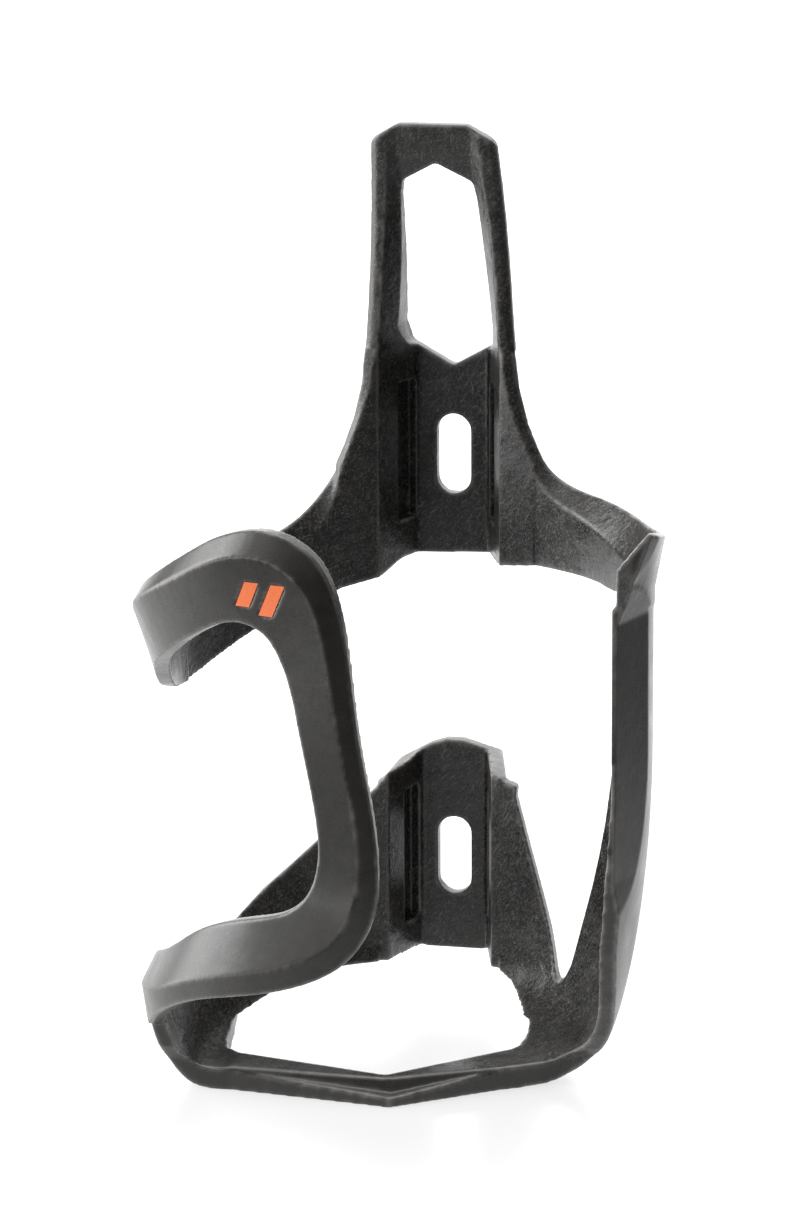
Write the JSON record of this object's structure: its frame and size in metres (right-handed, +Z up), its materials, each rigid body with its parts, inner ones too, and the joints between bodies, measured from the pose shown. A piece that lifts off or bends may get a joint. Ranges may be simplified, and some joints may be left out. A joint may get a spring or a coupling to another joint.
{
  "type": "bicycle water bottle cage",
  "caption": "Side-loading bicycle bottle cage: a channelled spine with slotted frame mounts, curled arms on both sides and a foot that carries the bottle's base.",
  "frame": {"origin": "centre of the frame bolt pattern, on the rear mounting face", "axes": "+Z up along the spine, -Y out of the mounting face towards the bottle, +Y into the bicycle frame, +X to the right seen from the bottle's side"},
  "size_m": [0.0776, 0.0907, 0.1391],
  "materials": {
    "composite": "satin moulded short-fibre carbon composite",
    "accent": "printed orange"
  },
  "bodies": {
    "root": {"upper_back_plate": "composite", "left_rail": "composite", "right_rail": "composite", "top_tab": "composite", "upper_right_wing": "composite", "right_strut": "composite", "lower_right_web": "composite", "lower_right_corner": "composite", "foot": "composite", "lower_back_plate": "composite", "lower_left_web": "composite", "left_riser": "composite", "lower_left_band": "composite", "left_strut": "composite", "upper_left_band": "composite", "upper_left_wing": "composite", "accent_bar_inner": "accent", "accent_bar_outer": "accent"}
  },
  "joints": []
}
